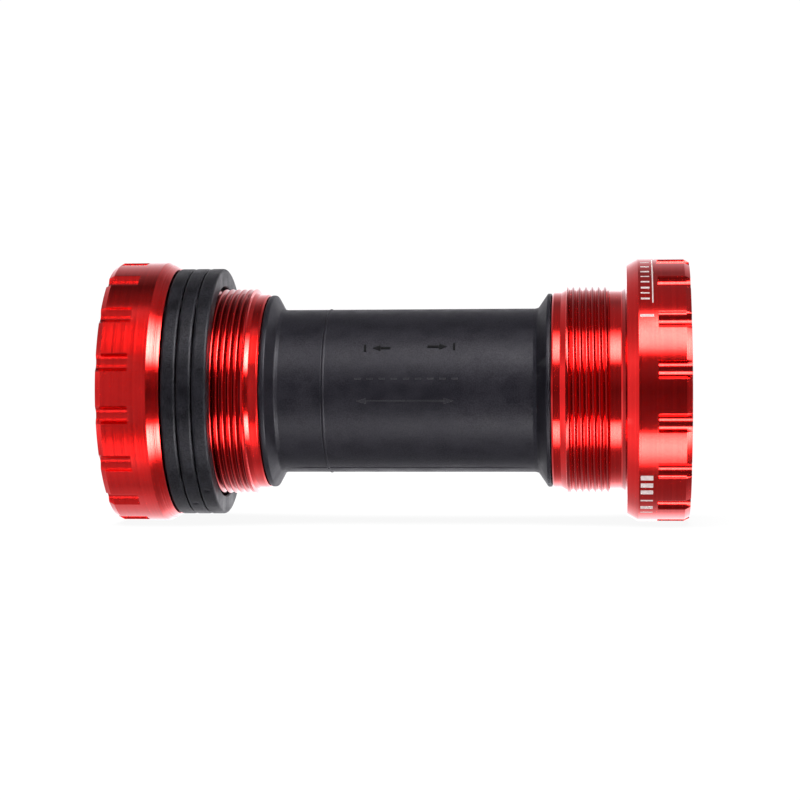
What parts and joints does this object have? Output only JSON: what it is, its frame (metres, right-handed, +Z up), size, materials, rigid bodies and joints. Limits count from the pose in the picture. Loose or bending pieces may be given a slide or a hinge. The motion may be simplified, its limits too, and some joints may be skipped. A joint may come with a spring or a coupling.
{
  "type": "bottom bracket",
  "caption": "External-bearing threaded bottom bracket: notched aluminium cups on a flared plastic sleeve, sealed bearings with spindle caps, and loose drive-side spacers.",
  "frame": {"origin": "on the spindle axis, at the middle of the overall length", "axes": "X along the spindle axis with the drive side at -X and the other side at +X, +Z up, and the bicycle's forward direction along -Y"},
  "size_m": [0.097, 0.044, 0.044],
  "materials": {
    "red_anodised": "turned, polished and anodised red",
    "black_plastic": "moulded, satin charcoal black",
    "rubber": "moulded, matt black",
    "bearing_steel": "ground",
    "ball_steel": "polished",
    "cage_plastic": "moulded, glass-filled"
  },
  "bodies": {
    "sleeve": {"inner_sleeve": "black_plastic"},
    "right_cup_turning": {"right_sleeve_oring": "rubber"},
    "right_cup": {"right_cup": "red_anodised", "right_outer_race": "bearing_steel", "right_outboard_seal": "rubber", "right_inboard_seal": "rubber"},
    "right_bearing_rotor": {"right_bearing_cap": "black_plastic", "right_inner_race": "bearing_steel"},
    "right_ball_set": {"right_balls": "ball_steel", "right_ball_cage": "cage_plastic"},
    "left_cup_turning": {"left_sleeve_oring": "rubber"},
    "left_cup": {"left_cup": "red_anodised", "left_outer_race": "bearing_steel", "left_outboard_seal": "rubber", "left_inboard_seal": "rubber"},
    "left_bearing_rotor": {"left_bearing_cap": "black_plastic", "left_inner_race": "bearing_steel"},
    "left_ball_set": {"left_balls": "ball_steel", "left_ball_cage": "cage_plastic"},
    "spacer_1": {"spacer_1": "black_plastic"},
    "spacer_2": {"spacer_2": "black_plastic"},
    "spacer_3": {"spacer_3": "black_plastic"}
  },
  "joints": [
    {"name": "right_cup_turn", "type": "hinge", "parent": "sleeve", "child": "right_cup_turning", "pos_m": [-0.026, 0, 0], "axis": [1, 0, 0], "range_deg": [0, 2650]},
    {"name": "right_cup_travel", "type": "slide", "parent": "right_cup_turning", "child": "right_cup", "axis": [-1, 0, 0], "range_m": [0, 0.0077]},
    {"name": "right_bearing_spin", "type": "hinge", "parent": "right_cup", "child": "right_bearing_rotor", "pos_m": [-0.04325, 0, 0], "axis": [1, 0, 0], "continuous": true},
    {"name": "right_ball_orbit", "type": "hinge", "parent": "right_cup", "child": "right_ball_set", "pos_m": [-0.04325, 0, 0], "axis": [1, 0, 0], "continuous": true},
    {"name": "left_cup_turn", "type": "hinge", "parent": "sleeve", "child": "left_cup_turning", "pos_m": [0.0292, 0, 0], "axis": [1, 0, 0], "range_deg": [0, 4250]},
    {"name": "left_cup_travel", "type": "slide", "parent": "left_cup_turning", "child": "left_cup", "axis": [1, 0, 0], "range_m": [0, 0.0123]},
    {"name": "left_bearing_spin", "type": "hinge", "parent": "left_cup", "child": "left_bearing_rotor", "pos_m": [0.04325, 0, 0], "axis": [1, 0, 0], "continuous": true},
    {"name": "left_ball_orbit", "type": "hinge", "parent": "left_cup", "child": "left_ball_set", "pos_m": [0.04325, 0, 0], "axis": [1, 0, 0], "continuous": true},
    {"name": "spacer_1_slide", "type": "slide", "parent": "right_cup", "child": "spacer_1", "axis": [1, 0, 0], "range_m": [-0.0002, 0.018]},
    {"name": "spacer_2_slide", "type": "slide", "parent": "spacer_1", "child": "spacer_2", "axis": [1, 0, 0], "range_m": [-0.00005, 0.018]},
    {"name": "spacer_3_slide", "type": "slide", "parent": "spacer_2", "child": "spacer_3", "axis": [1, 0, 0], "range_m": [-0.00005, 0.018]}
  ],
  "couplings": [
    {"joint": "right_cup_turn", "follows": "right_cup_travel", "rad_per_m": 5936.9},
    {"joint": "right_ball_orbit", "follows": "right_bearing_spin", "ratio": 0.44355},
    {"joint": "left_cup_turn", "follows": "left_cup_travel", "rad_per_m": 5936.9},
    {"joint": "left_ball_orbit", "follows": "left_bearing_spin", "ratio": 0.44355}
  ]
}
